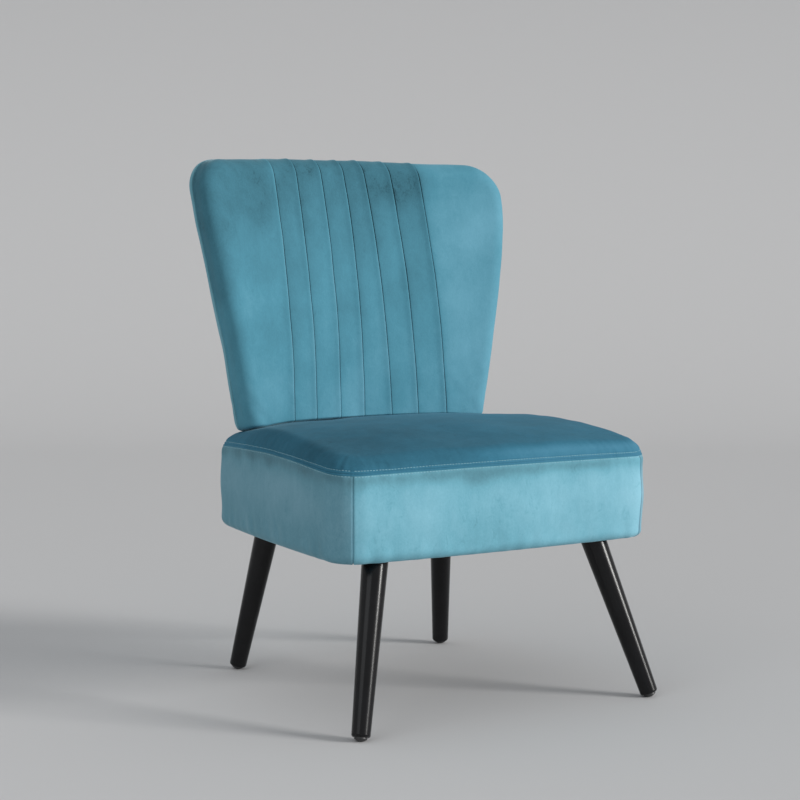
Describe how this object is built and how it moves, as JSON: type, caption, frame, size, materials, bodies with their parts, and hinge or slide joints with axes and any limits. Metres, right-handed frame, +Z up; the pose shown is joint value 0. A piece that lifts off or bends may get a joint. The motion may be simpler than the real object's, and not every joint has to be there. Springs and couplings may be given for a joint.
{
  "type": "slipper chair",
  "caption": "Armless upholstered lounge chair with a pleated shield-shaped back, a crowned boxed seat and splayed turned legs.",
  "frame": {"origin": "on the floor, below the centre of the chair's bounding box", "axes": "+Z up, -Y towards the front of the seat, +X to the right of a person facing the front of the chair; the chair is the same on both sides of X = 0"},
  "size_m": [0.564, 0.5742, 0.83],
  "materials": {
    "seat_cover": "teal velvet",
    "back_cover": "teal velvet",
    "lacquered_wood": "black gloss lacquer",
    "frame_wood": "sawn beech",
    "glide_plastic": "moulded",
    "zinc_steel": "zinc plated",
    "webbing": "elastic webbing",
    "foam": "open cell foam",
    "wadding": "polyester fibre",
    "dust_cloth": "spun bonded cloth",
    "liner_board": "grey board"
  },
  "bodies": {
    "root": {"seat_top_cover": "seat_cover", "seat_front_border": "seat_cover", "seat_rear_border": "seat_cover", "seat_left_border": "seat_cover", "seat_right_border": "seat_cover", "pleated_front_cover": "back_cover", "back_side_band": "back_cover", "back_rear_panel": "back_cover", "leg_front_left": "lacquered_wood", "leg_front_right": "lacquered_wood", "leg_rear_left": "lacquered_wood", "leg_rear_right": "lacquered_wood", "corner_block_front_left": "frame_wood", "corner_block_front_right": "frame_wood", "corner_block_rear_left": "frame_wood", "corner_block_rear_right": "frame_wood", "seat_front_rail": "frame_wood", "seat_rear_rail": "frame_wood", "seat_left_rail": "frame_wood", "seat_right_rail": "frame_wood", "back_left_stile": "frame_wood", "back_right_stile": "frame_wood", "back_top_rail": "frame_wood", "back_bottom_rail": "frame_wood", "back_centre_slat": "frame_wood", "back_dowels": "frame_wood", "glide_front_left": "glide_plastic", "glide_front_right": "glide_plastic", "glide_rear_left": "glide_plastic", "glide_rear_right": "glide_plastic", "glide_nails": "zinc_steel", "leg_hanger_bolts": "zinc_steel", "leg_tee_nuts": "zinc_steel", "corner_block_screws": "zinc_steel", "back_bolts": "zinc_steel", "back_washers": "zinc_steel", "back_tee_nuts": "zinc_steel", "seat_long_webbing": "webbing", "seat_cross_webbing": "webbing", "back_webbing": "webbing", "seat_foam": "foam", "back_foam": "foam", "seat_wadding": "wadding", "dust_cover": "dust_cloth", "back_liner": "liner_board"}
  },
  "joints": []
}
